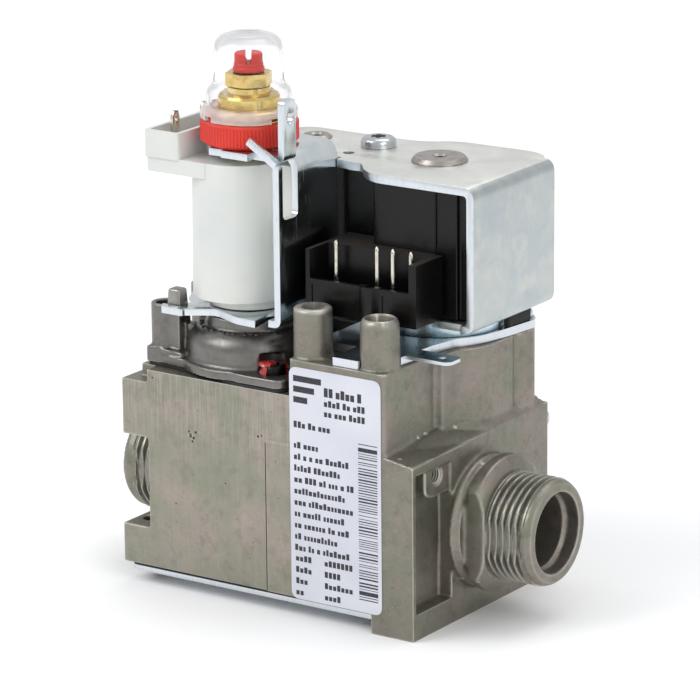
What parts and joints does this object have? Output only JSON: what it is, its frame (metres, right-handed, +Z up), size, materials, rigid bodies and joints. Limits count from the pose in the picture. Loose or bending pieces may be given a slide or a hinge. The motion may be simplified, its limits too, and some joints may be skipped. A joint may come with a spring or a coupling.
{
  "type": "gas valve",
  "caption": "Multifunctional boiler gas valve: die-cast body, solenoid valves under a sheet yoke, pressure regulator with modulator coil, threaded pipe ends.",
  "frame": {"origin": "under the middle of the whole object, on the plane its flange foot stands on", "axes": "+X along the gas flow to the outlet flange, +Y away from the labelled front, +Z up along the coils"},
  "size_m": [0.1198, 0.0626, 0.1374],
  "materials": {
    "cast": "die-cast, passivated, satin with faint iridescence",
    "dark_cast": "die-cast, dark semi-gloss",
    "zinc": "zinc-plated sheet",
    "steel": "bright zinc-plated steel",
    "nickel": "nickel-plated",
    "brass": "turned brass, semi-gloss",
    "white_plastic": "moulded, semi-gloss",
    "black_plastic": "moulded, glossy",
    "red_plastic": "moulded, satin",
    "clear_plastic": "clear, glossy",
    "rubber": "matt black",
    "label": "printed film"
  },
  "bodies": {
    "housing": {"adjuster_body": "brass", "base_plate_screw_1": "steel", "base_plate_screw_2": "steel", "base_plate_screw_3": "steel", "bottom_cover": "zinc", "bottom_gasket": "rubber", "bottom_screw_1": "steel", "bottom_screw_2": "steel", "bottom_screw_3": "steel", "bottom_screw_4": "steel", "coil_support_pad": "rubber", "connector_pin_1": "nickel", "connector_pin_2": "nickel", "connector_pin_3": "nickel", "connector_pin_4": "nickel", "ev1_core": "nickel", "ev1_flux_ring": "zinc", "ev1_guide_tube": "steel", "ev1_spring": "steel", "ev2_core": "nickel", "ev2_guide_tube": "steel", "ev2_spring": "steel", "inlet_strainer": "steel", "knurled_ring": "red_plastic", "main_valve_spring": "steel", "modulator_bracket": "zinc", "modulator_coil": "white_plastic", "modulator_core_tube": "brass", "modulator_terminal_1": "nickel", "modulator_terminal_2": "nickel", "rating_label": "label", "rear_plug_screw": "steel", "regulator_cover": "dark_cast", "regulator_diaphragm": "rubber", "regulator_screw_back": "steel", "regulator_screw_front": "steel", "regulator_screw_right": "steel", "regulator_screw_sealed": "steel", "regulator_spring": "steel", "solenoid_base_plate": "zinc", "solenoid_coils": "black_plastic", "solenoid_yoke": "zinc", "valve_body": "cast", "yoke_base_plate": "zinc", "yoke_screw": "steel"},
    "cap": {"dust_cap": "clear_plastic"},
    "max_adjuster": {"max_adjust_nut": "brass"},
    "min_adjuster": {"min_adjust_screw": "red_plastic"},
    "inlet_test_screw": {"test_screw_inlet": "brass"},
    "outlet_test_screw": {"test_screw_outlet": "brass"},
    "ev1_armature": {"ev1_plunger": "steel", "ev1_seal": "rubber"},
    "ev2_armature": {"ev2_plunger": "steel", "ev2_seal": "rubber"},
    "regulator": {"regulator_piston": "steel"},
    "modulator": {"modulator_plunger": "steel"},
    "main_valve": {"main_valve_disc": "rubber", "servo_diaphragm": "rubber"}
  },
  "joints": [
    {"name": "cap_pull", "type": "slide", "parent": "housing", "child": "cap", "axis": [0, 0, 1], "range_m": [0, 0.022]},
    {"name": "max_adjuster_turn", "type": "hinge", "parent": "housing", "child": "max_adjuster", "pos_m": [-0.0192, -0.01369, 0.1249], "axis": [0, 0, 1], "range_deg": [-180, 180]},
    {"name": "min_adjuster_turn", "type": "hinge", "parent": "max_adjuster", "child": "min_adjuster", "pos_m": [-0.0192, -0.01369, 0.1284], "axis": [0, 0, 1], "range_deg": [-180, 180]},
    {"name": "inlet_test_screw_turn", "type": "hinge", "parent": "housing", "child": "inlet_test_screw", "pos_m": [0.0069, -0.02559, 0.071], "axis": [0, 0, 1], "range_deg": [0, 360]},
    {"name": "outlet_test_screw_turn", "type": "hinge", "parent": "housing", "child": "outlet_test_screw", "pos_m": [0.0259, -0.02559, 0.0718], "axis": [0, 0, 1], "range_deg": [0, 360]},
    {"name": "ev1_lift", "type": "slide", "parent": "housing", "child": "ev1_armature", "axis": [0, 0, 1], "range_m": [0, 0.0015], "stiffness_N_per_m": 300, "springref_m": -0.008, "deforming": ["ev1_spring"]},
    {"name": "ev2_lift", "type": "slide", "parent": "housing", "child": "ev2_armature", "axis": [0, 0, 1], "range_m": [0, 0.0015], "stiffness_N_per_m": 200, "springref_m": -0.008, "deforming": ["ev2_spring"]},
    {"name": "regulator_lift", "type": "slide", "parent": "housing", "child": "regulator", "axis": [0, 0, 1], "range_m": [0, 0.0015], "stiffness_N_per_m": 200, "springref_m": -0.006, "deforming": ["regulator_spring"]},
    {"name": "modulator_lift", "type": "slide", "parent": "housing", "child": "modulator", "axis": [0, 0, 1], "range_m": [0, 0.0015]},
    {"name": "main_valve_open", "type": "slide", "parent": "housing", "child": "main_valve", "axis": [0, 0, -1], "range_m": [0, 0.001], "stiffness_N_per_m": 200, "springref_m": -0.006, "deforming": ["main_valve_spring"]}
  ],
  "couplings": [
    {"joint": "modulator_lift", "follows": "regulator_lift", "ratio": 1}
  ]
}
